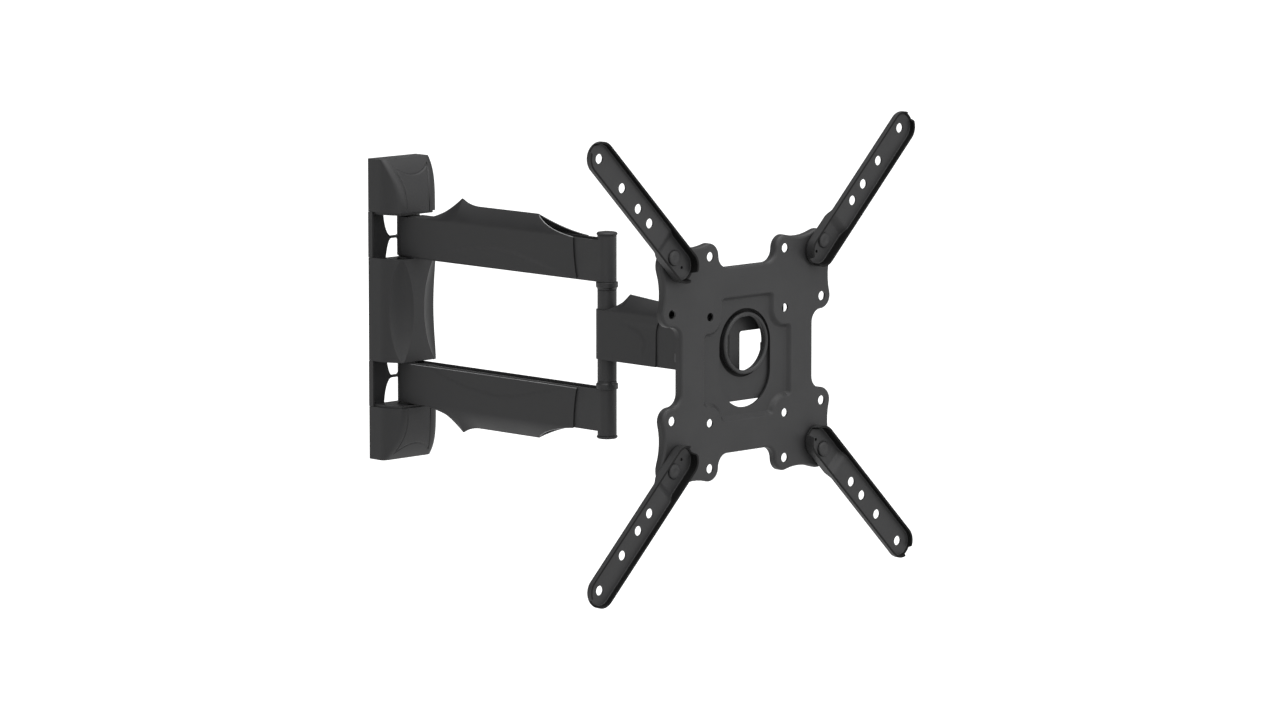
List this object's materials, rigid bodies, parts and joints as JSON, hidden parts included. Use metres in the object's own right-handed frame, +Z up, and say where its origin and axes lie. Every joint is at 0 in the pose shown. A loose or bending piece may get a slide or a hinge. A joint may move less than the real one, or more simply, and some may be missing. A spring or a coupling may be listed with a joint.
{
  "type": "full motion tv wall mount",
  "caption": "Full motion wall mount: wall bracket with covers, twin parallel arms, folding forearm, swivel and tilt head, and a screen plate with pivoting extension arms.",
  "frame": {"origin": "centre of the wall plate's back face, which lies on the wall", "axes": "+X to the right as seen by someone who faces the wall, +Y into the wall, +Z up; the screen side is -Y"},
  "size_m": [0.4324, 0.5073, 0.4324],
  "materials": {
    "powder_coated_steel": "fine matte black powder coat",
    "cover_plastic": "satin moulded black",
    "dark_steel": "black zinc, satin",
    "nylon": "satin black"
  },
  "bodies": {
    "wall_bracket": {"wall_plate": "powder_coated_steel", "top_cap": "cover_plastic", "middle_cover": "cover_plastic", "bottom_cap": "cover_plastic", "wall_pin_upper": "dark_steel", "wall_pin_lower": "dark_steel", "wall_nut_upper": "dark_steel", "wall_nut_lower": "dark_steel", "wall_washer_upper_1": "nylon", "wall_washer_upper_2": "nylon", "wall_washer_lower_1": "nylon", "wall_washer_lower_2": "nylon"},
    "main_arms": {"upper_arm": "powder_coated_steel", "lower_arm": "powder_coated_steel", "upper_arm_cover": "cover_plastic", "lower_arm_cover": "cover_plastic", "wall_bush_upper": "nylon", "wall_bush_lower": "nylon", "elbow_shaft": "dark_steel", "post_cap_top": "cover_plastic", "post_cap_bottom": "cover_plastic", "elbow_collar_upper": "nylon", "elbow_collar_lower": "nylon"},
    "forearm_link": {"forearm": "powder_coated_steel", "forearm_cover": "cover_plastic"},
    "swivel_head": {"swivel_bracket": "powder_coated_steel", "head_pin": "dark_steel", "head_nut": "dark_steel", "head_washer_upper": "nylon", "head_washer_lower": "nylon", "tilt_bolt_right": "dark_steel", "tilt_bolt_left": "dark_steel", "tilt_nut_right": "dark_steel", "tilt_nut_left": "dark_steel"},
    "tilt_head": {"tilt_bracket": "powder_coated_steel", "screen_plate": "powder_coated_steel", "arm_rivet_upper_right": "dark_steel", "arm_rivet_upper_left": "dark_steel", "arm_rivet_lower_left": "dark_steel", "arm_rivet_lower_right": "dark_steel"},
    "screen_arm_upper_right": {"extension_arm_upper_right": "powder_coated_steel"},
    "screen_arm_upper_left": {"extension_arm_upper_left": "powder_coated_steel"},
    "screen_arm_lower_left": {"extension_arm_lower_left": "powder_coated_steel"},
    "screen_arm_lower_right": {"extension_arm_lower_right": "powder_coated_steel"}
  },
  "joints": [
    {"name": "wall_swing", "type": "hinge", "parent": "wall_bracket", "child": "main_arms", "pos_m": [0, -0.0228, 0], "axis": [0, 0, 1], "range_deg": [-90, 90]},
    {"name": "elbow", "type": "hinge", "parent": "main_arms", "child": "forearm_link", "pos_m": [0, -0.3062, 0], "axis": [0, 0, -1], "range_deg": [-140, 140]},
    {"name": "head_swivel", "type": "hinge", "parent": "forearm_link", "child": "swivel_head", "pos_m": [0, -0.455, 0], "axis": [0, 0, 1], "range_deg": [-75, 75]},
    {"name": "tilt", "type": "hinge", "parent": "swivel_head", "child": "tilt_head", "pos_m": [0, -0.471, 0], "axis": [1, 0, 0], "range_deg": [-5, 15]},
    {"name": "arm_pivot_upper_right", "type": "hinge", "parent": "tilt_head", "child": "screen_arm_upper_right", "pos_m": [0.1, -0.497, 0.1], "axis": [0, 1, 0], "range_deg": [-45, 45]},
    {"name": "arm_pivot_upper_left", "type": "hinge", "parent": "tilt_head", "child": "screen_arm_upper_left", "pos_m": [-0.1, -0.497, 0.1], "axis": [0, 1, 0], "range_deg": [-45, 45]},
    {"name": "arm_pivot_lower_left", "type": "hinge", "parent": "tilt_head", "child": "screen_arm_lower_left", "pos_m": [-0.1, -0.497, -0.1], "axis": [0, 1, 0], "range_deg": [-45, 45]},
    {"name": "arm_pivot_lower_right", "type": "hinge", "parent": "tilt_head", "child": "screen_arm_lower_right", "pos_m": [0.1, -0.497, -0.1], "axis": [0, 1, 0], "range_deg": [-45, 45]}
  ]
}
